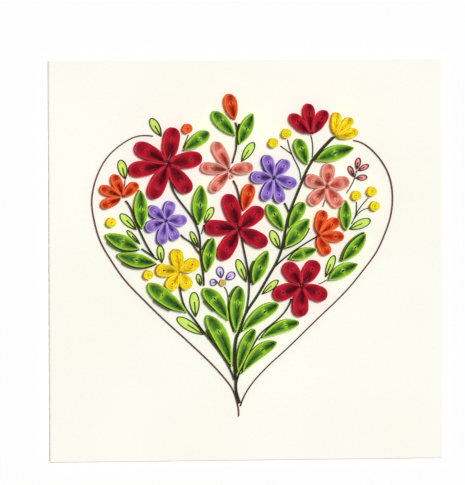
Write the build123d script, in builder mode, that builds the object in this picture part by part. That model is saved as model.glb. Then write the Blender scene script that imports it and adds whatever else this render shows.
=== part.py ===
"""A folded greeting card with a heart of quilled flowers and leaves on its front.

Every flower petal, leaf, bud and berry is one long paper strip stood on edge, rolled into a loose coil
and pinched to shape. Stems and the heart outline are plain strips on edge. All of them are glued by
their lower edge to the card's front panel. The card lies flat on its back panel, +Y is the card's top.
"""
import os
from math import asin, atan2, cos, degrees, floor, hypot, inf, pi, radians, sin, tan

from build123d import *

# The card: one sheet of stock, folded once on its left edge, mm
card_width = 150.0
card_height = 150.0
card_stock = 0.4
card_gap = 0.5

# The rolled strips: their height is how far the flowers and leaves stand off the card
strip_height = 4.0
strip_thickness = 0.25

# Lower strips: stems, the heart, and the fine ones of thin stems and outlined leaves
stem_height = 2.2
stem_thickness = 0.32
heart_height = 1.2
heart_thickness = 0.38
fine_height = 1.0
fine_thickness = 0.25
leaf_paper = 0.15

# Rolled coils: air between two turns as a share of the coil's width, because wide coils are looser, air
# under the loose end, and the smallest opening in the middle
turn_gap = 0.056
lap_gap = 0.12
coil_core = 0.4

# How fast the turns draw out from a round eye to the length of the piece, and take on its pinched ends
draw_out = 1.8
pinch_growth = 3.0

# The two sides of a pinch lie together for this many thicknesses
pinch_run = 3.0

# The glue line between a leaf and the strip along its side
glue_gap = 0.1

# One step of the grid that the picture is drawn on. Places and sizes in the tables below are in steps,
# counted from the middle of the card, x to the right and y to the top
grid = 1.0

# Petals start this far from the middle of their flower. Neighbours press on each other, with a little
# air between them, and a petal with no neighbour spreads no further than its own widest angle
flower_eye = 0.35
petal_gap = 0.1
petal_spread = 38.0
press_hardness = 8

# The shape of a rolled or cut piece. First, where it is widest, as a share of its length: the middle of
# the roll is there. Then how full and how pinched its base is, and the same for its tip. A fullness above
# that of a circle is squarer, and a pinch of 1 is a point
circle_fullness = 2.0
circle_pinch = 0.5
petal_shape = (0.68, (3.6, 1.0), (2.4, 0.5))
bud_shape = (0.66, (2.4, 1.0), (2.2, 0.55))
leaf_shape = (0.5, (2.0, 1.0), (2.0, 0.85))
round_leaf_shape = (0.64, (2.1, 1.0), (2.2, 0.55))
long_leaf_shape = (0.66, (2.0, 1.1), (2.1, 0.6))
ball_shape = (0.5, (circle_fullness, circle_pinch), (circle_fullness, circle_pinch))
outline_shape = (0.6, (2.0, 0.95), (2.1, 0.55))

# The vein of an outlined leaf: where its middle is and how long it is, as shares of the leaf's length
vein_middle = 0.35
vein_length = 0.5

panel_top = 2 * card_stock + card_gap
fold_radius = card_stock + card_gap / 2

# Flowers: middle x, y, petal width, then each petal's direction in degrees and reach from the middle
flowers = {
    "red_flower_large": (
        -30.4, 36.3, 6.2,
        [(80, 14.0), (10, 13.5), (309, 13.8), (245, 14.4), (190, 14.9), (149, 14.1)],
    ),
    "coral_flower_upper": (
        -6.7, 33.7, 4.7,
        [(118, 12.3), (173, 11.1), (228, 10.8), (8, 9.1)],
    ),
    "purple_flower_right": (
        10.0, 30.8, 4.6,
        [(109, 9.1), (49, 8.7), (344, 9.3), (288, 10.0), (247, 9.4), (178, 8.8)],
    ),
    "coral_flower_right": (
        30.3, 27.4, 5.1,
        [(83, 8.7), (13, 9.0), (305, 9.4), (226, 9.3), (158, 8.6)],
    ),
    "red_flower_middle": (
        -3.4, 11.8, 6.0,
        [(108, 13.8), (40, 12.0), (331, 12.5), (239, 13.5), (177, 12.8)],
    ),
    "red_flower_lower": (
        20.5, -9.8, 6.0,
        [(124, 10.4), (57, 11.1), (336, 10.7), (268, 11.7), (200, 11.3)],
    ),
    "purple_flower_left": (
        -31.2, 15.0, 4.4,
        [(73, 7.8), (2, 8.2), (302, 8.4), (260, 9.1), (201, 8.2), (140, 8.2)],
    ),
    "yellow_flower": (
        -25.9, -4.2, 5.0,
        [(100, 8.9), (30, 8.3), (300, 7.3), (237, 7.9), (174, 9.1)],
    ),
    "orange_flower_left": (
        -47.4, 24.0, 4.0,
        [(112, 9.3), (157, 9.4), (202, 8.9), (43, 7.7)],
    ),
    "orange_flower_right": (
        26.8, 9.1, 4.5,
        [(76, 9.8), (36, 10.2), (356, 10.2), (299, 8.5)],
    ),
    "red_tulip": (
        24.4, 46.7, 4.6,
        [(135, 11.0), (95, 12.0), (57, 11.0)],
    ),
    "yellow_tulip": (
        33.7, 46.1, 4.0,
        [(86, 9.2), (46, 9.5), (12, 8.9)],
    ),
}

# Buds and green leaves: pinched base x, y, tip x, y, width, and how far the middle bows to the left
buds = {
    "orange_bud_top": (-4.8, 52.2, -7.0, 62.5, 4.9, 0),
    "orange_bud_middle": (-1.7, 18.1, 1.5, 28.7, 4.9, 0),
}
leaves = {
    "leaf_bud_right": (-3.3, 43.0, 2.4, 55.3, 4.9, 0),
    "leaf_tulip_right": (25.9, 37.2, 41.2, 41.9, 5.7, 0.4),
    "leaf_left_upper": (-40.3, 11.6, -40.9, 27.1, 5.2, 0),
    "leaf_left_middle": (-41.1, 4.5, -54.3, 10.0, 5.5, 0),
    "leaf_left_lower": (-34.6, -0.9, -50.0, 2.5, 5.3, 0.4),
    "leaf_centre_left_upper": (-18.7, 13.1, -17.5, 28.6, 5.7, 0),
    "leaf_centre_left_lower": (-15.7, -4.7, -12.9, 8.9, 4.9, 0.4),
    "leaf_centre_right": (2.1, -9.6, 8.0, 3.8, 5.3, 0.4),
    "leaf_right_branch_lower": (14.0, 4.5, 23.9, 15.6, 5.7, 0),
    "leaf_berries": (37.6, 10.3, 37.4, 22.7, 4.5, 0),
    "leaf_orange_flower": (15.6, 0.4, 26.8, 4.1, 4.3, 0),
    "leaf_far_right_lower": (30.6, -7.7, 42.5, -1.6, 5.0, 0.4),
    "leaf_far_right_upper": (35.9, -0.8, 45.5, 9.9, 4.9, -0.4),
}
round_leaves = {
    "leaf_red_flower": (-24.4, 41.3, -14.4, 48.2, 5.1, 0),
    "leaf_bud_left": (-4.3, 46.2, -13.1, 55.8, 4.9, 0),
    "leaf_tulip_left": (23.0, 35.2, 19.2, 45.5, 4.9, 0),
    "leaf_right_branch_left": (13.9, 10.6, 7.9, 20.9, 4.9, 0),
    "leaf_right_branch_right": (15.6, 11.6, 21.7, 21.7, 4.5, 0),
    "leaf_yellow_flower": (-22.9, -19.7, -38.0, -8.5, 5.9, 0.3),
}
long_leaves = {
    "leaf_base_left_upper": (-7.4, -23.0, -16.9, -10.4, 5.7, -1.0),
    "leaf_base_left_lower": (-6.4, -40.4, -15.6, -20.3, 6.0, -1.4),
    "leaf_base_middle": (-4.6, -27.6, -2.9, -9.6, 5.5, 0.5),
    "leaf_base_right_upper": (-2.9, -27.4, 12.0, -16.3, 5.3, 1.0),
    "leaf_base_right_inner": (-4.1, -42.8, 2.8, -25.5, 4.4, 1.1),
    "leaf_base_right_lower": (-2.6, -42.9, 11.2, -30.5, 4.9, 1.7),
    "leaf_base_right_middle": (4.5, -29.7, 19.9, -23.4, 4.7, 1.1),
}
piece_groups = (
    (buds, bud_shape),
    (leaves, leaf_shape),
    (round_leaves, round_leaf_shape),
    (long_leaves, long_leaf_shape),
)

# Dark strips glued along leaves: the leaf, its side (1 left, -1 right), and where along it they run
leaf_edges = [
    ("leaf_left_middle", 1, 0.0, 0.86),
    ("leaf_left_lower", 1, 0.0, 0.8),
    ("leaf_centre_left_lower", 1, 0.6, 0.92),
    ("leaf_centre_right", 1, 0.05, 0.6),
    ("leaf_right_branch_lower", -1, 0.0, 0.8),
    ("leaf_far_right_upper", 1, 0.0, 0.97),
    ("leaf_yellow_flower", 1, 0.3, 0.7),
    ("leaf_base_left_upper", 1, 0.4, 0.75),
    ("leaf_base_left_lower", 1, 0.52, 0.76),
    ("leaf_base_middle", 1, 0.75, 1.0),
]

# Berries, and the lower centres of two flowers: x, y, radius of each tight coil
berries = {
    "orange_berry": [(-22.7, 49.5, 1.9)],
    "yellow_berries_top": [(10.1, 43.9, 1.9), (15.1, 47.4, 1.9)],
    "yellow_berry_far_left": [(-51.8, 14.6, 1.9)],
    "yellow_berry_lower_left": [(-37.8, -5.1, 1.9)],
    "yellow_berries_right": [(41.7, 23.9, 1.9), (47.7, 25.4, 1.9), (48.8, 19.9, 1.9)],
}
flower_centres = {
    "coral_flower_centre": [(-5.65, 31.4, 0.9)],
    "lavender_flower_centre": [(-9.2, -8.4, 1.4)],
}

# Outlined pieces: base x, y, tip x, y, width. A strip stands round the edge of a flat cut paper
outlined = {
    "outlined_leaf": [
        (-32.2, 46.5, -36.3, 53.4, 3.4),
        (-45.9, 30.5, -47.9, 38.0, 3.5),
        (-1.8, 36.8, 3.1, 44.1, 3.4),
        (-41.8, 11.6, -48.0, 17.7, 3.3),
        (-16.0, 13.9, -12.6, 20.0, 2.8),
        (-18.2, 4.7, -21.2, 11.0, 2.2),
        (12.8, 3.9, 9.5, 11.1, 3.4),
        (39.3, 11.2, 47.6, 14.7, 3.5),
        (-40.4, 6.2, -45.5, 11.6, 1.8),
        (-32.2, -0.9, -33.0, 5.9, 2.9),
        (-17.4, -9.6, -18.6, -4.9, 2.1),
        (-19.4, -21.2, -20.1, -11.7, 3.8),
        (-16.3, -27.9, -26.6, -21.3, 3.8),
        (0.0, -8.4, -3.5, 0.4, 3.2),
        (5.8, -13.0, 12.2, -7.6, 2.6),
        (30.2, -6.8, 33.7, 1.5, 2.9),
    ],
    "lavender_flower": [
        (-9.5, -6.8, -10.4, -2.3, 3.0),
        (-10.8, -8.3, -14.0, -8.2, 2.8),
        (-8.0, -7.3, -4.4, -4.8, 3.0),
    ],
    "pink_sprig": [
        (42.3, 33.5, 43.2, 38.1, 2.2),
        (41.3, 30.7, 39.3, 35.0, 2.1),
        (42.7, 33.1, 47.0, 35.3, 2.1),
        (41.9, 30.4, 46.4, 30.7, 2.3),
    ],
}

# The trunk and its branches: thickness in strips, then the places that the strip passes through
main_stem = [
    (2, [
        (33.7, 46), (29.2, 41.5), (25, 36.6), (21.9, 30.7), (19.2, 24.3), (16.9, 18.7), (15.5, 14),
        (13.3, 3.7), (11, -1.7), (8.5, -5.9), (4.6, -12.5), (2.1, -16.2), (0.3, -18.8), (-2.1, -24.2),
        (-3.7, -28.7),
    ]),
    (2, [
        (-3.6, -27.8), (-4.2, -30.6), (-4.6, -34.9), (-4.7, -39.6), (-4.3, -44.9), (-4, -49.8),
        (-3.3, -52.0), (-2.95, -53.6),
    ]),
    (1, [
        (-3.9, -27.8), (-4.6, -30.6), (-5.05, -34.9), (-5.15, -39.6),
    ]),
    (1, [
        (32.9, 45.8), (28.9, 41.8), (24.7, 36.9),
    ]),
    (1, [
        (-1.9, 8.4), (-0.2, 0.1), (0.7, -5.5), (0.9, -11.3), (0.2, -17.1), (-1.8, -24),
    ]),
    (1, [
        (-25.6, -10.0), (-25, -12.9), (-23.4, -17.6), (-21.2, -20.5), (-16.5, -26.7), (-12.3, -31.9),
        (-8.5, -37.1), (-4.9, -44.8),
    ]),
    (1, [
        (17, -14.6), (15, -18.9), (9.1, -24.5), (5, -27.9), (3, -30.9), (-0.7, -37.2), (-3.1, -42.6),
        (-4.1, -46.2),
    ]),
    (1, [
        (26.7, 8.5), (20.8, 5), (15.6, 1.5), (10.8, -2.6),
    ]),
    (1, [
        (14.6, 21.3), (15.6, 19.2), (16.6, 16.9),
    ]),
]

# Stems of a single strip, and the lower, finer ones
side_stems = [
    [(-4.1, 51.6), (-3.5, 48.8), (-3.7, 45.1), (-3.8, 42.1), (-4.4, 39.5), (-5.4, 36.3)],
    [(-2.6, 51.1), (-3.0, 49.6), (-3.5, 47.5)],
    [(-46, 22.6), (-44.4, 20.4), (-43.5, 18.1), (-42.2, 14.7), (-40.7, 11.4), (-38.4, 6.6), (-35.3, 1.8)],
    [(-39.9, 4.6), (-36.5, 2.3), (-33.8, 0.4)],
    [(-28.9, 29.4), (-27, 24.7), (-22.8, 19.1), (-19.6, 14.2), (-17.8, 8.5), (-17.6, 2.1),
     (-16.5, -5.6), (-16.4, -9.5)],
    [(-25, 9.8), (-23.6, 8.4), (-21.2, 6.9), (-19.3, 4.4), (-17.5, 2.2)],
    [(-5.0, 29.9), (-3.2, 25.6), (-2.5, 20.6), (-2.4, 18.5)],
]
fine_stems = [
    [(-8.4, -10), (-7.3, -12.4), (-7.0, -14.8), (-7.0, -20.0), (-6.3, -23.1), (-5.0, -27.0)],
    [(16, 45), (16.7, 41.9), (18.6, 37.4), (20.1, 34.4), (20.8, 31.6), (20.9, 29.9)],
    [(13.2, 42.7), (14.8, 41.6), (17.7, 39.4)],
    [(24.9, 46.5), (25.4, 44.1), (25.6, 41.1), (25.3, 38.3)],
    [(-21.9, 47), (-22.8, 44.9), (-24, 42.1)],
    [(30.2, 22.4), (29.3, 19.7)],
    [(42.2, 21.4), (42.2, 18.6), (41.9, 16.4)],
    [(46.8, 22.9), (44.5, 20.4), (42.6, 17.8), (41.4, 15.5), (40.3, 13.2)],
    [(46.8, 19.1), (44.9, 18.5), (42.6, 16.8), (41.4, 15.1)],
    [(42.3, 33.3), (41.5, 30.2), (40.0, 27.2), (38.4, 24.7)],
    [(-17.1, 9.8), (-16.6, 11.6), (-16.2, 13.4)],
    [(27.7, -9.2), (29.5, -8.5), (30.4, -7.9)],
    [(-46.1, 30.3), (-46.3, 28.6), (-46.7, 26.8)],
]

# The two strips of the heart, from the top of each lobe to the point at the bottom
heart = {
    "heart_outline_left": [
        (-35.4, 46.7), (-38.3, 47), (-42.1, 46.5), (-45.9, 44.7), (-49.7, 42), (-53.5, 38),
        (-56.4, 32.8), (-58.2, 27.2), (-58.8, 21.6), (-57.9, 15.3), (-55.6, 7.5), (-51.8, 0.8),
        (-46.2, -7.2), (-40.5, -13.2), (-32.9, -20.7), (-25.3, -27.6), (-17.7, -34.6), (-12, -40.2),
        (-8.2, -44.5), (-5.3, -48.7), (-4, -52.5), (-3.2, -56.2), (-3.2, -58.6),
    ],
    "heart_outline_right": [
        (41.1, 44.5), (43.7, 43.9), (47.5, 41.5), (51.4, 37.3), (54.5, 31.8), (55.8, 26.6),
        (56, 21.7), (55, 14.9), (53.2, 9.8), (49.4, 2), (45.5, -3.2), (39.8, -10.1), (34, -16),
        (28.2, -21.3), (20.6, -28.5), (14.8, -33.9), (9, -39), (5.2, -42.7), (1.4, -47.1), (-1.4, -51.8),
        (-2.5, -54.8),
    ],
}

# Points on one full turn of a coil, on one side of an outline, and between two places of a stem
turn_samples = 20
side_samples = 12
stem_samples = 3


def piece_plane(x, y, angle=0.0, lift=0.0, out=0.0):
    """A plane on the card's front: its X runs along the piece, and it starts this far out from x, y."""
    along = (cos(radians(angle)), sin(radians(angle)), 0)
    return Plane(
        origin=(x * grid + out * along[0], y * grid + out * along[1], panel_top + lift),
        x_dir=along,
        z_dir=(0, 0, 1),
    )


def save(piece, name):
    piece.part.label = name
    export_step(piece.part, f"parts/{name}.step")


def arcs(points):
    """A smooth line through the points, in arcs that each take three of them."""
    threes = zip(points[:-2:2], points[1:-1:2], points[2::2])
    add([ThreePointArc(start, middle, end, mode=Mode.PRIVATE) for start, middle, end in threes])


def outline_point(u, reach, half_width, ends):
    """A point of a drop or leaf outline: u runs from 0 at the base through pi/2 at the tip."""
    base, widest, tip = reach
    x = base + (tip - base) * sin(u) ** 2
    if x < widest:
        away = (widest - x) / (widest - base)
        fullness, pinch = ends[0]
    else:
        away = (x - widest) / (tip - widest)
        fullness, pinch = ends[1]
    swell = max(0, 1 - min(1, away) ** fullness) ** pinch
    return x, (1 if u <= pi / 2 else -1) * half_width * swell


def bowed(x, y, length, bow):
    """The same point on a piece whose middle is moved to the left by the bow."""
    along = x / length
    return x, y + 4 * bow * along * (1 - along)


def rounder(end, growth):
    """The fullness and pinch of an inner turn: the smaller the turn, the nearer to a circle."""
    fullness, pinch = end
    taken = growth ** pinch_growth
    fullness = circle_fullness + (fullness - circle_fullness) * taken
    return fullness, circle_pinch + (pinch - circle_pinch) * taken


def inner_run(end):
    """How many thicknesses the strip's inner side stays back from an end: one if it is round."""
    return 1 + (pinch_run - 1) * min(1, (end[1] - circle_pinch) / (1 - circle_pinch))


class Coil:
    """A strip rolled from the middle out and pinched, lying along its own X axis from 0 to length.

    Spreads are the slopes, left and right, of the lines to its neighbours in a flower.
    """

    def __init__(self, length, width, shape, bow=0.0, spreads=(inf, inf)):
        self.length = length
        self.half = width / 2
        self.focus = shape[0] * length
        self.ends = shape[1:]
        self.bow = bow
        self.spreads = spreads
        step = (strip_thickness + turn_gap * width) / self.half
        lap = (strip_thickness + lap_gap) / self.half
        more_turns = max(0, floor((1 - lap - coil_core / self.half) / step))
        self.growth = [1 - lap - step * k for k in range(more_turns, -1, -1)] + [1.0]

    def point(self, u, growth, inset):
        """The strip's outer side at inset 0, its inner side at inset one thickness."""
        ends = [rounder(end, growth) for end in self.ends]
        drawn = growth ** draw_out
        back = self.half * growth + (self.focus - self.half) * drawn - inset * inner_run(ends[0])
        front = self.half * growth + (self.length - self.focus - self.half) * drawn
        front -= inset * inner_run(ends[1])
        packed = petal_gap / 2 + self.half * (1 - growth) + inset
        base = max(self.focus - back, (packed + strip_thickness / 2) / min(self.spreads) - flower_eye)
        reach = (base, self.focus, self.focus + front)
        x, y = outline_point(u, reach, self.half * growth - inset, ends)
        spread = self.spreads[0] if y > 0 else self.spreads[1]
        room = (x + flower_eye) * spread - packed
        y /= (1 + abs(y / room) ** press_hardness) ** (1 / press_hardness)
        return bowed(x, y, self.length, self.bow)

    def side(self, inset):
        """One side of the strip, from the middle out."""
        points = []
        for start, end in zip(self.growth, self.growth[1:]):
            for k in range(turn_samples):
                share = k / turn_samples
                points.append(self.point(pi * share, start + (end - start) * share, inset))
        points.append(self.point(pi, 1.0, inset))
        return points

    def draw(self):
        """The closed edge of the rolled strip, seen from above."""
        outer = self.side(0)
        inner = self.side(strip_thickness)
        arcs(outer)
        arcs(inner)
        Line(outer[0], inner[0])
        Line(outer[-1], inner[-1])


def heading(x0, y0, x1, y1):
    """Direction in degrees and length, in mm, of the line between two places of the grid."""
    return degrees(atan2(y1 - y0, x1 - x0)), hypot(x1 - x0, y1 - y0) * grid


def rolled(name, coils, height=strip_height):
    """One node of rolled coils: each is a plane and a Coil."""
    with BuildPart() as piece:
        for plane, coil in coils:
            with BuildSketch(plane):
                with BuildLine():
                    coil.draw()
                make_face()
        extrude(amount=height)
    save(piece, name)


def slope_to(turns):
    """The slope of the line half way to the nearest neighbour, each given as degrees of turn from here."""
    return tan(radians(min(min(turns) / 2, petal_spread)))


def flower(name, x, y, width, petals):
    """Petals set round the middle of a flower, each pressed by the next one on either side."""
    coils = []
    for angle, reach in petals:
        turned = [(other - angle) % 360 for other, _ in petals if other != angle]
        spreads = (slope_to(turned), slope_to([360 - turn for turn in turned]))
        coil = Coil(reach * grid - flower_eye, width * grid, petal_shape, spreads=spreads)
        coils.append((piece_plane(x, y, angle, out=flower_eye), coil))
    rolled(name, coils)


def strip_sides(points, thickness):
    """The long sides and square ends of a strip on edge that passes through the points."""
    if len(points) > 2:
        path = Spline(*points, mode=Mode.PRIVATE)
        count = stem_samples * (len(points) - 1)
    else:
        path = Line(*points, mode=Mode.PRIVATE)
        count = 1
    side = Spline if count > 1 else Line
    left = []
    right = []
    for k in range(count + 1):
        across = (path % (k / count)).rotate(Axis.Z, 90) * (thickness / 2)
        left.append((path @ (k / count)) + across)
        right.append((path @ (k / count)) - across)
    side(*left)
    side(*right)
    Line(left[0], right[0])
    Line(left[-1], right[-1])


def strips(name, rows, height):
    """One node of strips on edge; strips that cross or meet are glued into one."""
    with BuildPart() as piece:
        with BuildSketch(Plane.XY.offset(panel_top)):
            for thickness, points in rows:
                with BuildLine():
                    strip_sides([(x * grid, y * grid) for x, y in points], thickness)
                make_face()
        extrude(amount=height)
    save(piece, name)


def leaf_row(name):
    """The places of a green leaf and its shape."""
    for group, shape in piece_groups:
        if name in group:
            return group[name], shape


def leaf_edge_strips(name, rows):
    """Strips that follow part of a leaf's side, a glue line away from it."""
    with BuildPart() as piece:
        for leaf, side, first, last in rows:
            (x0, y0, x1, y1, width, bow), shape = leaf_row(leaf)
            angle, length = heading(x0, y0, x1, y1)
            reach = (0, shape[0] * length, length)
            near = []
            far = []
            for k in range(side_samples + 1):
                u = asin((first + (last - first) * k / side_samples) ** 0.5)
                x, y = outline_point(u, reach, width * grid / 2, shape[1:])
                near.append(bowed(x, side * (y + glue_gap), length, bow * grid))
                far.append(bowed(x, side * (y + glue_gap + stem_thickness), length, bow * grid))
            with BuildSketch(piece_plane(x0, y0, angle)):
                with BuildLine():
                    arcs(near)
                    arcs(far)
                    Line(near[0], far[0])
                    Line(near[-1], far[-1])
                make_face()
        extrude(amount=strip_height)
    save(piece, name)


def outline_edge(base, tip, half_width):
    """The closed outline of a cut paper leaf."""
    reach = (base, base + outline_shape[0] * (tip - base), tip)
    turn = [pi * k / (2 * side_samples) for k in range(2 * side_samples + 1)]
    arcs([outline_point(u, reach, half_width, outline_shape[1:]) for u in turn])


def outlined_strips(name, rows):
    """Strips stood round the edges of cut papers, each with its end run up the middle as a vein."""
    base_inset = fine_thickness * inner_run(outline_shape[1])
    tip_inset = fine_thickness * inner_run(outline_shape[2])
    with BuildPart() as piece:
        for x0, y0, x1, y1, width in rows:
            angle, length = heading(x0, y0, x1, y1)
            with BuildSketch(piece_plane(x0, y0, angle, leaf_paper)):
                with BuildLine():
                    outline_edge(0, length, width * grid / 2)
                make_face()
                with BuildLine():
                    outline_edge(base_inset, length - tip_inset, width * grid / 2 - fine_thickness)
                make_face(mode=Mode.SUBTRACT)
                with Locations((length * vein_middle, 0)):
                    Rectangle(length * vein_length, fine_thickness)
        extrude(amount=fine_height)
    save(piece, name)


def cut_papers(name, rows):
    """The flat coloured papers under the outlined leaves and petals."""
    with BuildPart() as piece:
        for x0, y0, x1, y1, width in rows:
            angle, length = heading(x0, y0, x1, y1)
            with BuildSketch(piece_plane(x0, y0, angle)):
                with BuildLine():
                    outline_edge(0, length, width * grid / 2)
                make_face()
        extrude(amount=leaf_paper)
    save(piece, name)


def make_card():
    """The folded sheet: two panels joined by a rounded fold on the left."""
    with BuildPart() as card:
        with BuildSketch(Plane.XZ.offset(-card_height / 2)):
            for lift in (0, card_stock + card_gap):
                with Locations((-card_width / 2 + fold_radius, lift)):
                    Rectangle(card_width - fold_radius, card_stock, align=(Align.MIN, Align.MIN))
            with Locations((-card_width / 2 + fold_radius, fold_radius)):
                Circle(fold_radius)
                Circle(card_gap / 2, mode=Mode.SUBTRACT)
            with Locations((-card_width / 2 + fold_radius, card_stock)):
                Rectangle(card_gap, card_gap, align=(Align.MIN, Align.MIN), mode=Mode.SUBTRACT)
        extrude(amount=card_height)
    save(card, "card")


os.makedirs("parts", exist_ok=True)
make_card()
for name, points in heart.items():
    strips(name, [(heart_thickness, points)], heart_height)
strips("main_stem", [(count * stem_thickness, points) for count, points in main_stem], stem_height)
strips("side_stems", [(stem_thickness, points) for points in side_stems], stem_height)
strips("fine_stems", [(fine_thickness, points) for points in fine_stems], fine_height)
for name, row in flowers.items():
    flower(name, *row)
for group, shape in piece_groups:
    for name, (x0, y0, x1, y1, width, bow) in group.items():
        angle, length = heading(x0, y0, x1, y1)
        rolled(name, [(piece_plane(x0, y0, angle), Coil(length, width * grid, shape, bow * grid))])
leaf_edge_strips("leaf_edge_strips", leaf_edges)
for group, height in ((berries, strip_height), (flower_centres, stem_height)):
    for name, row in group.items():
        coils = [(piece_plane(x - r, y), Coil(2 * r * grid, 2 * r * grid, ball_shape)) for x, y, r in row]
        rolled(name, coils, height)
for name, rows in outlined.items():
    outlined_strips(f"{name}_strips", rows)
    cut_papers(f"{name}_papers", rows)
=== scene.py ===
import math
import random

import bmesh
import bpy
from mathutils import Matrix, Vector


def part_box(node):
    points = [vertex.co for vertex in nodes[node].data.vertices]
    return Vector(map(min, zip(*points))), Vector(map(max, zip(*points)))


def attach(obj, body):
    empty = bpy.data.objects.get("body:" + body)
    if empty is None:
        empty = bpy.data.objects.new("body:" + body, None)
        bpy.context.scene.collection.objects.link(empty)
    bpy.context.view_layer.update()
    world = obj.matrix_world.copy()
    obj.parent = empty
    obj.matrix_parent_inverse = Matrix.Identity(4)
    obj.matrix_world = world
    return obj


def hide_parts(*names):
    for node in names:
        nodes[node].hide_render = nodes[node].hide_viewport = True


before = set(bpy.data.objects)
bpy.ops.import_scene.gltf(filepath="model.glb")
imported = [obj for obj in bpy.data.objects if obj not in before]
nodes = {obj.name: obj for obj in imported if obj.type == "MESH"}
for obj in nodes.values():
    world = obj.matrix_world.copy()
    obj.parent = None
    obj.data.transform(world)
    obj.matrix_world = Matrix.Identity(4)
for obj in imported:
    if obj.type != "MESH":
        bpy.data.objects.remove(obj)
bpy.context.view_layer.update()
mm = 0.001
white = (1.0, 1.0, 1.0, 1.0)
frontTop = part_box("card")[1].z / mm  # the face that the quilling stands on
print("frame loaded:", len(nodes), "pieces")


# Colours are written as they look on screen, 0 to 255, and turned linear by the sRGB curve
def paint(red, green, blue):
    linear = []
    for value in (red, green, blue):
        share = value / 255
        linear.append(share / 12.92 if share <= 0.04045 else ((share + 0.055) / 1.055) ** 2.4)
    return (*linear, 1.0)


# A linear grey, for masks and for colours to be multiplied by
def grey(level):
    return (level, level, level, 1.0)


# What all the papers share: a dull surface, a fine speckle and a finer tooth
paperLook = {
    "roughness": 0.85,
    "specular": 0.25,
    "speckleScale": 900.0,
    "speckleDetail": 4.0,
    "speckleRange": (0.3, 0.7),
    "tint": 0.12,  # how much lighter and darker the speckle makes the colour
    "toothScale": 5000.0,
    "toothDetail": 3.0,
    "toothHeight": 0.05,
    "toothStrength": 0.3,
    "lookingUp": (0.4, 0.8),  # upward part of the normal where a face begins to look up, and fully does
}
mixSockets = {"first": 6, "second": 7, "mixed": 2}  # the colour sockets of a Mix node


# Small helpers for material nodes
class Finish:
    def __init__(self, name, roughness=paperLook["roughness"]):
        self.material = bpy.data.materials.new(name)
        self.material.use_nodes = True
        self.tree = self.material.node_tree
        self.shader = self.tree.nodes["Principled BSDF"]
        self.shader.inputs["Roughness"].default_value = roughness
        self.shader.inputs["Specular IOR Level"].default_value = paperLook["specular"]

    def add(self, kind, **values):
        node = self.tree.nodes.new(kind)
        for key, value in values.items():
            setattr(node, key, value)
        return node

    def link(self, start, end):
        self.tree.links.new(start, end)

    # A colour or number goes into the socket as it is, and another node's output is linked to it
    def give(self, value, socket):
        if isinstance(value, bpy.types.NodeSocket):
            self.link(value, socket)
        else:
            socket.default_value = value

    def noise(self, scale, detail):
        node = self.add("ShaderNodeTexNoise")
        node.inputs["Scale"].default_value = scale
        node.inputs["Detail"].default_value = detail
        place = self.add("ShaderNodeTexCoord").outputs["Object"]
        self.link(place, node.inputs["Vector"])
        return node.outputs["Fac"]

    # A ramp between two stops, each a position and a colour
    def ramp(self, value, *stops):
        node = self.add("ShaderNodeValToRGB")
        for element, (position, colour) in zip(node.color_ramp.elements, stops):
            element.position = position
            element.color = colour
        self.link(value, node.inputs["Fac"])
        return node.outputs["Color"]

    # 0 up to low and 1 from high on, with a smooth step between
    def span(self, value, low, high):
        node = self.add("ShaderNodeMapRange", interpolation_type="SMOOTHSTEP")
        node.inputs["From Min"].default_value = low
        node.inputs["From Max"].default_value = high
        self.link(value, node.inputs["Value"])
        return node.outputs["Result"]

    def mix(self, share, first, second, blend="MIX"):
        node = self.add("ShaderNodeMix", data_type="RGBA", blend_type=blend)
        self.give(share, node.inputs["Factor"])
        self.give(first, node.inputs[mixSockets["first"]])
        self.give(second, node.inputs[mixSockets["second"]])
        return node.outputs[mixSockets["mixed"]]

    def attribute(self, name):
        return self.add("ShaderNodeAttribute", attribute_name=name).outputs["Fac"]

    # 1 on the cut edges, which look up, and 0 on the flat sides of the strips
    def upward(self):
        geometry = self.add("ShaderNodeNewGeometry")
        split = self.add("ShaderNodeSeparateXYZ")
        self.link(geometry.outputs["Normal"], split.inputs["Vector"])
        return self.span(split.outputs["Z"], *paperLook["lookingUp"])

    # Speckles the colour, gives the surface its tooth, and ends the material
    def fibres(self, colour, strength=paperLook["toothStrength"], tint=paperLook["tint"]):
        paintedShadeAt, lightAt = paperLook["speckleRange"]
        speckle = self.noise(paperLook["speckleScale"], paperLook["speckleDetail"])
        shade = self.ramp(speckle, (paintedShadeAt, grey(1 - tint)), (lightAt, grey(1 + tint)))
        self.link(self.mix(1.0, colour, shade, "MULTIPLY"), self.shader.inputs["Base Color"])
        bump = self.add("ShaderNodeBump")
        bump.inputs["Strength"].default_value = strength
        bump.inputs["Distance"].default_value = paperLook["toothHeight"] * mm
        tooth = self.noise(paperLook["toothScale"], paperLook["toothDetail"])
        self.link(tooth, bump.inputs["Height"])
        self.link(bump.outputs["Normal"], self.shader.inputs["Normal"])
        return self.material
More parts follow.
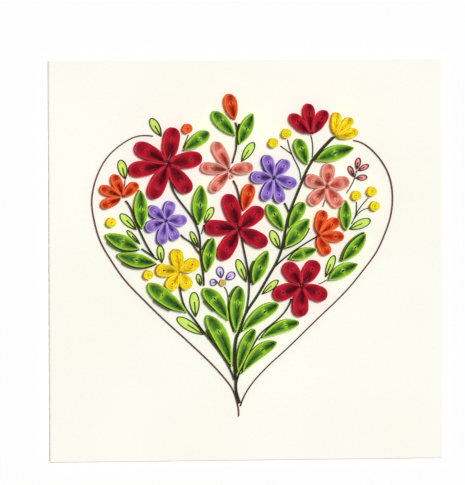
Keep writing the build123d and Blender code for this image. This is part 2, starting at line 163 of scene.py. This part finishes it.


# Rolled paper: the cut edges seen from above where the turns lie close, and where they spread apart,
# darker as painted shade in the gaps, the outermost edge, lighter as a painted highlight, and the flat
# side of the strip, outside, and deep inside the roll, darker as painted shade
rollColours = {
    "red": {
        "close": (203, 18, 46), "apartShade": (122, 4, 28), "rim": (224, 50, 76),
        "wall": (220, 46, 70), "deepShade": (124, 4, 26),
    },
    "coral": {
        "close": (255, 156, 136), "apartShade": (212, 88, 72), "rim": (255, 206, 190),
        "wall": (255, 192, 180), "deepShade": (196, 78, 62),
    },
    # The purple's outer side is darker than its edges: painted shade
    "purple": {
        "close": (178, 138, 232), "apartShade": (104, 66, 164), "rim": (216, 194, 250),
        "wall": (110, 84, 160), "deepShade": (84, 50, 140),
    },
    "orange": {
        "close": (255, 102, 38), "apartShade": (206, 36, 10), "rim": (255, 138, 82),
        "wall": (252, 118, 66), "deepShade": (190, 28, 8),
    },
    "yellow": {
        "close": (255, 238, 30), "apartShade": (255, 212, 10), "rim": (255, 242, 66),
        "wall": (240, 192, 20), "deepShade": (255, 214, 8),
    },
    "green": {
        "close": (164, 219, 48), "apartShade": (70, 130, 46), "rim": (206, 240, 96),
        "wall": (166, 210, 64), "deepShade": (6, 46, 28),
    },
    "straw": {
        "close": (236, 200, 110), "apartShade": (200, 150, 70), "rim": (240, 215, 140),
        "wall": (120, 95, 50), "deepShade": (110, 76, 20),
    },
}
# The painted shade in the middle of a roll, for the gaps in shade where the turns spread apart: how dark
# it is from the eye to the tip, where 1 is as dark as at the base, the share of the way from the eye to
# an end that stays light, free of the painted shade, and the share of the width where it ends
rollShades = {
    "red": {"beyond": 0.5, "glow": 0.3, "across": 0.8},
    "coral": {"beyond": 0.7, "glow": 0.3, "across": 0.8},
    "purple": {"beyond": 0.5, "glow": 0.34, "across": 0.8},
    "orange": {"beyond": 0.9, "glow": 0.2, "across": 0.8},
    "yellow": {"beyond": 0.8, "glow": 0.25, "across": 0.8},
    "green": {"beyond": 1.0, "glow": 0.11, "across": 0.94},
    "straw": {"beyond": 0.5, "glow": 0.3, "across": 0.8},
}
# Places along the roll go from 0 in the eye to 1 at the outermost turn
rollLook = {
    "eyeHighlightShare": 0.55,  # share of the rim's painted highlight colour in the eye
    "eyeFades": (0.16, 0.34),  # where it starts to fade and is gone
    "rings": (0.76, 1.16),  # how far the rings of turns darken and lighten the colour
    "rimHighlightFrom": (0.8, 0.98),  # where the painted highlight on the rim starts and is full
    "outsideFrom": (0.85, 0.96),  # the same for the outer side's colour, over the painted shade of the deep turns
}


def rollFinish(paper):
    colours = {key: paint(*value) for key, value in rollColours[paper].items()}
    finish = Finish(paper + "RolledPaper")
    turn = finish.attribute("turn")
    # Painted shade: the edges darken where the turns spread apart
    edges = finish.mix(finish.attribute("unshadedShare"), colours["apartShade"], colours["close"])
    lightUntil, fadedAt = rollLook["eyeFades"]
    # Painted highlight: the eye takes a share of the rim's light colour
    eye = finish.ramp(turn, (lightUntil, grey(rollLook["eyeHighlightShare"])), (fadedAt, grey(0.0)))
    edges = finish.mix(eye, edges, colours["rim"])
    darkRing, lightRing = rollLook["rings"]
    rings = finish.ramp(finish.attribute("ring"), (0.0, grey(darkRing)), (1.0, grey(lightRing)))
    edges = finish.mix(1.0, edges, rings, "MULTIPLY")
    # Painted highlight on the outermost turn
    edges = finish.mix(finish.span(turn, *rollLook["rimHighlightFrom"]), edges, colours["rim"])
    # The flat sides: painted shade deep inside the roll, the wall colour on the outer turns
    sides = finish.mix(finish.span(turn, *rollLook["outsideFrom"]), colours["deepShade"], colours["wall"])
    return finish.fibres(finish.mix(finish.upward(), sides, edges))


rollFinishes = {paper: rollFinish(paper) for paper in rollColours}
print("rolled paper finishes made:", len(rollFinishes))

# How the strips are rolled
rolling = {
    "thickness": 0.155,  # of the paper
    "pitch": 0.19,  # room for one turn at the widest place
    "core": 0.24,  # least half width of the eye
    "fewestTurns": 2,
    "segments": 40,  # in one turn
    "drawOut": 1.6,  # the higher, the less the inner turns are drawn out to the ends of the piece
    "drawOutBelow": 0.9,  # the same at the edge that is glued down, so that the inner turns lean
    "pinchGrowth": 3.0,  # the higher, the rounder the inner turns
    "pinchRun": 3.0,  # how far the strip's middle stops before a pinched end, in half thicknesses
    "unevenTop": 0.12,  # how far the upper edge dips
    "topRoom": 0.025,  # room for the corners that the paper's thickness adds on top
    "dips": 3,  # waves in the upper edge
    "dipRates": (0.6, 2.4),  # the slowest and the fastest of them, in radians a turn
    "ringTurns": 3.6,  # turns from one light ring to the next
    "seedStep": 100,  # each roll of a piece has a seed of its own
}
roundEnd = (2.0, 0.5)  # fullness and pinch of a circle
# Where each shape is widest, then how full and how pinched its base is, and the same for its tip
rollShapes = {
    "petal": (0.68, (3.6, 1.0), (2.4, 0.5)),
    "bud": (0.66, (2.4, 1.0), (2.2, 0.55)),
    "leaf": (0.5, (2.0, 1.0), (2.0, 0.85)),
    "roundLeaf": (0.64, (2.1, 1.0), (2.2, 0.55)),
    "longLeaf": (0.66, (2.0, 1.1), (2.1, 0.6)),
    "ball": (0.5, roundEnd, roundEnd),
}
# Petals press on each other round the middle of their flower
petalSet = {
    "eye": 0.1,  # how far from the middle they start
    "gap": 0.03,  # air between two
    "spread": 38.0,  # the widest that half a petal opens
    "hardness": 8,  # how sharply it bends where it meets the next one
}
# Painted shade in the middle of a roll, for the gaps in shade where the turns spread apart, and where
# petals meet
paintedShadeMiddle = {
    "full": 0.05,  # share of the width up to which the middle of a roll is fully painted with shade
    "start": 0.1,  # where a fade starts, as a share of where it is over
    "meeting": 0.12,  # share of a petal's length, at its base, that looks like a turn further in, as painted shade where petals meet
    "meetingTurn": 0.7,  # how far out that turn is
}


def smoothStep(value, low, high):
    share = min(1, max(0, (value - low) / (high - low)))
    return share * share * (3 - 2 * share)


# A wave from -1 to 1 as a share from 0 to 1
def asShare(wave):
    return 0.5 + 0.5 * wave


# How wide an outline is at x, from 0 at its ends to 1 at its widest place
def swellAt(x, reach, ends):
    base, widest, tip = reach
    if x < widest:
        away = (widest - x) / (widest - base)
        fullness, pinch = ends[0]
    else:
        away = (x - widest) / (tip - widest)
        fullness, pinch = ends[1]
    return max(0, 1 - min(1, away) ** fullness) ** pinch


# Fullness and pinch of a turn's two ends: a circle's near the eye, the whole shape's at the rim
def turnEnds(ends, growth):
    roundFullness, roundPinch = roundEnd
    taken = growth ** rolling["pinchGrowth"]
    return [
        (roundFullness + (fullness - roundFullness) * taken, roundPinch + (pinch - roundPinch) * taken)
        for fullness, pinch in ends
    ]


# How far the strip's middle stops before an end: half its thickness, and more where the end is pinched
def stopBefore(pinch):
    inset = rolling["thickness"] / 2
    sharpness = min(1, 2 * pinch - 1)  # 0 at a circle's end, 1 at a sharp one
    return inset * (1 + (rolling["pinchRun"] - 1) * sharpness)


# A distance from the middle line, pressed by the neighbours in a flower
def pressed(y, x, spreads, packed):
    room = (x + petalSet["eye"]) * (spreads[0] if y > 0 else spreads[1]) - packed
    return y / (1 + abs(y / room) ** petalSet["hardness"]) ** (1 / petalSet["hardness"])


# How much painted shade the roll takes at x, and at a share of the way from the middle line out to the
# rim, for the gaps in shade where the turns spread apart
def paintedShadeAt(x, outward, focus, length, shade):
    fromEye = (focus - x) / focus if x < focus else (x - focus) / (length - focus)
    paintedShade = 1 - smoothStep(outward, paintedShadeMiddle["full"], shade["across"])
    paintedShade *= smoothStep(fromEye, paintedShadeMiddle["start"] * shade["glow"], shade["glow"])
    return paintedShade if x < focus else paintedShade * shade["beyond"]


# How far out in the roll a point of a petal looks to be: less where the petals of a flower meet, so that
# there the bases lose the painted highlight of the rim and their sides take the painted shade of the
# deep turns
def meetingTurnAt(x, length, growth):
    fadeFrom = paintedShadeMiddle["start"] * paintedShadeMiddle["meeting"]
    meeting = 1 - smoothStep(x / length, fadeFrom, paintedShadeMiddle["meeting"])
    return growth * (1 - meeting * (1 - paintedShadeMiddle["meetingTurn"]))


# Rolls one strip from its eye to its rim, pinches it, and lays it along the line from start to end
def rollStrip(bm, top, shade, start, end, width, shape, bow=0.0, spreads=(math.inf, math.inf), seed=0):
    widest, *ends = rollShapes[shape]
    half = width / 2
    length = math.hypot(end[0] - start[0], end[1] - start[1])
    angle = math.atan2(end[1] - start[1], end[0] - start[0])
    focus = widest * length  # the eye, from which the turns are drawn out to both ends
    inset = rolling["thickness"] / 2
    outerGap = petalSet["gap"] / 2
    turns = max(rolling["fewestTurns"], math.floor((half - rolling["core"]) / rolling["pitch"]))
    firstGrowth = 1 - turns * rolling["pitch"] / half
    chance = random.Random(seed)
    waves = [
        (chance.uniform(*rolling["dipRates"]), chance.uniform(0, 2 * math.pi))
        for _ in range(rolling["dips"])
    ]
    firstPhase = waves[0][1]
    turnLayer = bm.verts.layers.float["turn"]
    unshadedLayer = bm.verts.layers.float["unshadedShare"]
    ringLayer = bm.verts.layers.float["ring"]
    # The strip starts flat, 1 long and 1 high around the origin
    strip = bmesh.ops.create_grid(bm, x_segments=turns * rolling["segments"], y_segments=1, size=0.5)
    for vert in strip["verts"]:
        along = (vert.co.x + 0.5) * turns
        lap = min(math.floor(along), turns - 1)
        swing = (along - lap) * math.pi
        growth = firstGrowth + (1 - firstGrowth) * along / turns
        upper = vert.co.y > 0
        drawn = growth ** rolling["drawOut" if upper else "drawOutBelow"]
        rounded = turnEnds(ends, growth)
        packed = outerGap + half * (1 - growth) + inset
        base = focus - half * growth - (focus - half) * drawn + stopBefore(rounded[0][1])
        base = max(base, (packed + inset) / min(spreads) - petalSet["eye"])
        tip = focus + half * growth + (length - focus - half) * drawn - stopBefore(rounded[1][1])
        x = base + (tip - base) * math.sin(swing) ** 2  # out to the tip and back
        side = 1 if swing <= math.pi / 2 else -1
        y = side * (half * growth - inset) * swellAt(x, (base, focus, tip), rounded)
        y = pressed(y, x, spreads, packed)
        rim = pressed(side * half * swellAt(x, (0, focus, length), ends), x, spreads, outerGap)
        # Painted shade for the gaps in the middle of the roll; each point keeps one minus it, and a
        # berry none
        paintedShade = paintedShadeAt(x, y / rim if rim else 1, focus, length, shade)
        y += 4 * bow * (x / length) * (1 - x / length)  # a parabola, highest in the middle
        dip = asShare(sum(math.sin(along * rate + phase) for rate, phase in waves) / len(waves))
        z = top - rolling["topRoom"] - rolling["unevenTop"] * dip if upper else frontTop
        vert[turnLayer] = meetingTurnAt(x, length, growth) if shape == "petal" else growth
        vert[unshadedLayer] = 1.0 if shape == "ball" else 1 - paintedShade
        vert[ringLayer] = asShare(math.sin(2 * math.pi * along / rolling["ringTurns"] + firstPhase))
        vert.co = Vector((
            (start[0] + x * math.cos(angle) - y * math.sin(angle)) * mm,
            (start[1] + x * math.sin(angle) + y * math.cos(angle)) * mm,
            z * mm,
        ))


# Makes one piece of rolled strips in place of its CAD node
def rolledPiece(node, paper, rolls):
    bm = bmesh.new()
    for layer in ("turn", "unshadedShare", "ring"):
        bm.verts.layers.float.new(layer)
    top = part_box(node)[1].z / mm
    for number, roll in enumerate(rolls):
        rollStrip(bm, top, rollShades[paper], *roll, seed=len(node) * rolling["seedStep"] + number)
    for face in bm.faces:
        face.smooth = True
    mesh = bpy.data.meshes.new(node + "_rolls")
    bm.to_mesh(mesh)
    bm.free()
    piece = bpy.data.objects.new(node + "_rolls", mesh)
    bpy.context.scene.collection.objects.link(piece)
    mesh.materials.append(rollFinishes[paper])
    thickness = piece.modifiers.new("paper thickness", "SOLIDIFY")
    thickness.thickness = rolling["thickness"] * mm
    thickness.offset = 0.0
    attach(piece, "root")
    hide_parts(node)


# Flowers: paper, middle x, y, petal width, then each petal's direction and reach
flowers = {
    "red_flower_large": (
        "red", -30.4, 36.3, 6.2,
        [(80, 14.0), (10, 13.5), (309, 13.8), (245, 14.4), (190, 14.9), (149, 14.1)],
    ),
    "coral_flower_upper": (
        "coral", -6.7, 33.7, 4.7,
        [(118, 12.3), (173, 11.1), (228, 10.8), (8, 9.1)],
    ),
    "purple_flower_right": (
        "purple", 10.0, 30.8, 4.6,
        [(109, 9.1), (49, 8.7), (344, 9.3), (288, 10.0), (247, 9.4), (178, 8.8)],
    ),
    "coral_flower_right": (
        "coral", 30.3, 27.4, 5.1,
        [(83, 8.7), (13, 9.0), (305, 9.4), (226, 9.3), (158, 8.6)],
    ),
    "red_flower_middle": (
        "red", -3.4, 11.8, 6.0,
        [(108, 13.8), (40, 12.0), (331, 12.5), (239, 13.5), (177, 12.8)],
    ),
    "red_flower_lower": (
        "red", 20.5, -9.8, 6.0,
        [(124, 10.4), (57, 11.1), (336, 10.7), (268, 11.7), (200, 11.3)],
    ),
    "purple_flower_left": (
        "purple", -31.2, 15.0, 4.4,
        [(73, 7.8), (2, 8.2), (302, 8.4), (260, 9.1), (201, 8.2), (140, 8.2)],
    ),
    "yellow_flower": (
        "yellow", -25.9, -4.2, 5.0,
        [(100, 8.9), (30, 8.3), (300, 7.3), (237, 7.9), (174, 9.1)],
    ),
    "orange_flower_left": (
        "orange", -47.4, 24.0, 4.0,
        [(112, 9.3), (157, 9.4), (202, 8.9), (43, 7.7)],
    ),
    "orange_flower_right": (
        "orange", 26.8, 9.1, 4.5,
        [(76, 9.8), (36, 10.2), (356, 10.2), (299, 8.5)],
    ),
    "red_tulip": (
        "red", 24.4, 46.7, 4.6,
        [(135, 11.0), (95, 12.0), (57, 11.0)],
    ),
    "yellow_tulip": (
        "yellow", 33.7, 46.1, 4.0,
        [(86, 9.2), (46, 9.5), (12, 8.9)],
    ),
}


# The slope of the line half way to the nearest neighbour, given the turns to them
def slopeTo(turns):
    nearest = min(turns, default=360)
    return math.tan(math.radians(min(nearest / 2, petalSet["spread"])))


for node, (paper, x, y, width, petals) in flowers.items():
    rolls = []
    for degrees, reach in petals:
        across = math.cos(math.radians(degrees))
        upCard = math.sin(math.radians(degrees))
        turns = [(other - degrees) % 360 for other, _ in petals if other != degrees]
        spreads = (slopeTo(turns), slopeTo([360 - turn for turn in turns]))
        start = (x + petalSet["eye"] * across, y + petalSet["eye"] * upCard)
        rolls.append((start, (x + reach * across, y + reach * upCard), width, "petal", 0.0, spreads))
    rolledPiece(node, paper, rolls)
print("flowers rolled:", len(flowers))

# Buds and leaves: pinched base x, y, tip x, y, width, and how far the middle bows to the left
buds = {
    "orange_bud_top": (-4.8, 52.2, -7.0, 62.5, 4.9, 0),
    "orange_bud_middle": (-1.7, 18.1, 1.5, 28.7, 4.9, 0),
}
leaves = {
    "leaf_bud_right": (-3.3, 43.0, 2.4, 55.3, 4.9, 0),
    "leaf_tulip_right": (25.9, 37.2, 41.2, 41.9, 5.7, 0.4),
    "leaf_left_upper": (-40.3, 11.6, -40.9, 27.1, 5.2, 0),
    "leaf_left_middle": (-41.1, 4.5, -54.3, 10.0, 5.5, 0),
    "leaf_left_lower": (-34.6, -0.9, -50.0, 2.5, 5.3, 0.4),
    "leaf_centre_left_upper": (-18.7, 13.1, -17.5, 28.6, 5.7, 0),
    "leaf_centre_left_lower": (-15.7, -4.7, -12.9, 8.9, 4.9, 0.4),
    "leaf_centre_right": (2.1, -9.6, 8.0, 3.8, 5.3, 0.4),
    "leaf_right_branch_lower": (14.0, 4.5, 23.9, 15.6, 5.7, 0),
    "leaf_berries": (37.6, 10.3, 37.4, 22.7, 4.5, 0),
    "leaf_orange_flower": (15.6, 0.4, 26.8, 4.1, 4.3, 0),
    "leaf_far_right_lower": (30.6, -7.7, 42.5, -1.6, 5.0, 0.4),
    "leaf_far_right_upper": (35.9, -0.8, 45.5, 9.9, 4.9, -0.4),
}
roundLeaves = {
    "leaf_red_flower": (-24.4, 41.3, -14.4, 48.2, 5.1, 0),
    "leaf_bud_left": (-4.3, 46.2, -13.1, 55.8, 4.9, 0),
    "leaf_tulip_left": (23.0, 35.2, 19.2, 45.5, 4.9, 0),
    "leaf_right_branch_left": (13.9, 10.6, 7.9, 20.9, 4.9, 0),
    "leaf_right_branch_right": (15.6, 11.6, 21.7, 21.7, 4.5, 0),
    "leaf_yellow_flower": (-22.9, -19.7, -38.0, -8.5, 5.9, 0.3),
}
longLeaves = {
    "leaf_base_left_upper": (-7.4, -23.0, -16.9, -10.4, 5.7, -1.0),
    "leaf_base_left_lower": (-6.4, -40.4, -15.6, -20.3, 6.0, -1.4),
    "leaf_base_middle": (-4.6, -27.6, -2.9, -9.6, 5.5, 0.5),
    "leaf_base_right_upper": (-2.9, -27.4, 12.0, -16.3, 5.3, 1.0),
    "leaf_base_right_inner": (-4.1, -42.8, 2.8, -25.5, 4.4, 1.1),
    "leaf_base_right_lower": (-2.6, -42.9, 11.2, -30.5, 4.9, 1.7),
    "leaf_base_right_middle": (4.5, -29.7, 19.9, -23.4, 4.7, 1.1),
}
leafGroups = (
    ("orange", "bud", buds),
    ("green", "leaf", leaves),
    ("green", "roundLeaf", roundLeaves),
    ("green", "longLeaf", longLeaves),
)
for paper, shape, group in leafGroups:
    for node, (x0, y0, x1, y1, width, bow) in group.items():
        rolledPiece(node, paper, [((x0, y0), (x1, y1), width, shape, bow)])
print("buds and leaves rolled:", sum(len(group) for _, _, group in leafGroups))

# Berries and flower centres: paper, then x, y and radius of each tight roll
berries = {
    "orange_berry": ("orange", [(-22.7, 49.5, 1.9)]),
    "yellow_berries_top": ("yellow", [(10.1, 43.9, 1.9), (15.1, 47.4, 1.9)]),
    "yellow_berry_far_left": ("yellow", [(-51.8, 14.6, 1.9)]),
    "yellow_berry_lower_left": ("yellow", [(-37.8, -5.1, 1.9)]),
    "yellow_berries_right": ("yellow", [(41.7, 23.9, 1.9), (47.7, 25.4, 1.9), (48.8, 19.9, 1.9)]),
    "coral_flower_centre": ("coral", [(-5.65, 31.4, 0.9)]),
    "lavender_flower_centre": ("straw", [(-9.2, -8.4, 1.4)]),
}
for node, (paper, balls) in berries.items():
    rolledPiece(node, paper, [((x - r, y), (x + r, y), 2 * r, "ball") for x, y, r in balls])
print("berries and flower centres rolled:", len(berries))

# Strips on edge and cut papers keep their CAD nodes: the colour seen from above, and that of the sides
stripColours = {
    "stemStrip": {"edge": (48, 42, 22), "side": (105, 100, 60)},
    "heartStrip": {"edge": (84, 50, 46), "side": (150, 102, 96)},
    "leafEdgeStrip": {"edge": (45, 60, 20), "side": (120, 150, 50)},
    "outlinedLeafStrip": {"edge": (58, 66, 22), "side": (110, 120, 50)},
    "lavenderStrip": {"edge": (92, 78, 112), "side": (150, 135, 170)},
    "sprigStrip": {"edge": (76, 48, 54), "side": (150, 100, 98)},
    "leafPaper": {"edge": (212, 240, 112), "side": (180, 210, 90)},
    "lavenderPaper": {"edge": (218, 204, 242), "side": (180, 165, 210)},
    "sprigPaper": {"edge": (248, 158, 152), "side": (214, 118, 116)},
}
stripNodes = {
    "main_stem": "stemStrip",
    "side_stems": "stemStrip",
    "fine_stems": "stemStrip",
    "heart_outline_left": "heartStrip",
    "heart_outline_right": "heartStrip",
    "leaf_edge_strips": "leafEdgeStrip",
    "outlined_leaf_strips": "outlinedLeafStrip",
    "lavender_flower_strips": "lavenderStrip",
    "pink_sprig_strips": "sprigStrip",
    "outlined_leaf_papers": "leafPaper",
    "lavender_flower_papers": "lavenderPaper",
    "pink_sprig_papers": "sprigPaper",
}


def stripFinish(name):
    colours = {key: paint(*value) for key, value in stripColours[name].items()}
    finish = Finish(name)
    return finish.fibres(finish.mix(finish.upward(), colours["side"], colours["edge"]))


# Gives a CAD node its material
def dress(node, material):
    materials = nodes[node].data.materials
    materials.clear()
    materials.append(material)


stripFinishes = {name: stripFinish(name) for name in stripColours}
for node, name in stripNodes.items():
    dress(node, stripFinishes[name])
print("strips and cut papers finished:", len(stripNodes))

# The card: cream stock, faintly clouded, with a soft tooth
cardLook = {
    "paper": (255, 254, 245),
    "shade": (252, 250, 239),
    "cloudScale": 14.0,
    "cloudDetail": 2.0,
    "cloudRange": (0.35, 0.65),
    "roughness": 0.8,
    "toothStrength": 0.25,
    "tint": 0.01,
}


def cardFinish():
    finish = Finish("creamCardStock", cardLook["roughness"])
    cloud = finish.noise(cardLook["cloudScale"], cardLook["cloudDetail"])
    shadeAt, paperAt = cardLook["cloudRange"]
    stops = (shadeAt, paint(*cardLook["shade"])), (paperAt, paint(*cardLook["paper"]))
    return finish.fibres(finish.ramp(cloud, *stops), cardLook["toothStrength"], cardLook["tint"])


dress("card", cardFinish())
print("card finished")

# The table under the card: plain white, in shadow only by the card itself
tableLook = {"half": 4000.0, "roughness": 0.9, "colour": white}


def makeTable():
    bm = bmesh.new()
    bmesh.ops.create_grid(bm, x_segments=1, y_segments=1, size=tableLook["half"] * mm)
    mesh = bpy.data.meshes.new("table")
    bm.to_mesh(mesh)
    bm.free()
    table = bpy.data.objects.new("table", mesh)
    bpy.context.scene.collection.objects.link(table)
    finish = Finish("whiteTable", tableLook["roughness"])
    finish.shader.inputs["Base Color"].default_value = tableLook["colour"]
    mesh.materials.append(finish.material)


makeTable()

# Light: soft daylight from the upper right of the card, over an even white surround
lightLook = {
    "right": 60.0,  # from the card's right side towards its top
    "height": 79.0,  # above the card's face
    "strength": 2.46,
    "softness": 12.0,
    "surround": 0.22,  # strength of the surround on the object
    "backdrop": 1.0,  # and as the camera sees it
}


def makeLight():
    lamp = bpy.data.lights.new("window", "SUN")
    lamp.energy = lightLook["strength"]
    lamp.angle = math.radians(lightLook["softness"])
    window = bpy.data.objects.new("window", lamp)
    turn = math.radians(lightLook["right"])
    rise = math.radians(lightLook["height"])
    aim = Vector((math.cos(turn) * math.cos(rise), math.sin(turn) * math.cos(rise), math.sin(rise)))
    window.rotation_euler = aim.to_track_quat("Z", "Y").to_euler()
    bpy.context.scene.collection.objects.link(window)
    world = bpy.data.worlds.new("surround")
    world.use_nodes = True
    tree = world.node_tree
    background = tree.nodes["Background"]
    background.inputs["Color"].default_value = white
    rays = tree.nodes.new("ShaderNodeLightPath")
    strength = tree.nodes.new("ShaderNodeMapRange")
    strength.inputs["To Min"].default_value = lightLook["surround"]
    strength.inputs["To Max"].default_value = lightLook["backdrop"]
    tree.links.new(rays.outputs["Is Camera Ray"], strength.inputs["Value"])
    tree.links.new(strength.outputs["Result"], background.inputs["Strength"])
    bpy.context.scene.world = world


makeLight()
bpy.context.scene.view_settings.view_transform = "Standard"

# The camera stands far off, to the left of the card and a little above its middle
cameraLook = {
    "left": 11.08,
    "above": 1.55,
    "roll": -0.22,
    "distance": 5000.0,
    "viewHeight": 181.8,  # what the frame shows from top to bottom, at the card
    "aimAcross": -4.82,  # what it aims at, from the middle of the card
    "aimUp": 6.51,
}


def makeCamera():
    left = math.radians(cameraLook["left"])
    above = math.radians(cameraLook["above"])
    roll = math.radians(cameraLook["roll"])
    back = Vector((-math.sin(left) * math.cos(above), math.sin(above), math.cos(left) * math.cos(above)))
    levelRight = Vector((0, 1, 0)).cross(back).normalized()
    levelUp = back.cross(levelRight)
    right = levelRight * math.cos(roll) + levelUp * math.sin(roll)
    up = levelUp * math.cos(roll) - levelRight * math.sin(roll)
    data = bpy.data.cameras.new("camera")
    data.lens = data.sensor_width * cameraLook["distance"] / cameraLook["viewHeight"]
    data.dof.use_dof = False
    camera = bpy.data.objects.new("camera", data)
    camera.rotation_mode = "QUATERNION"
    camera.rotation_quaternion = Matrix((right, up, back)).transposed().to_quaternion()
    aim = right * cameraLook["aimAcross"] + up * cameraLook["aimUp"]
    camera.location = (back * cameraLook["distance"] + aim) * mm
    bpy.context.scene.collection.objects.link(camera)
    bpy.context.scene.camera = camera


makeCamera()
print("table, light and camera placed")
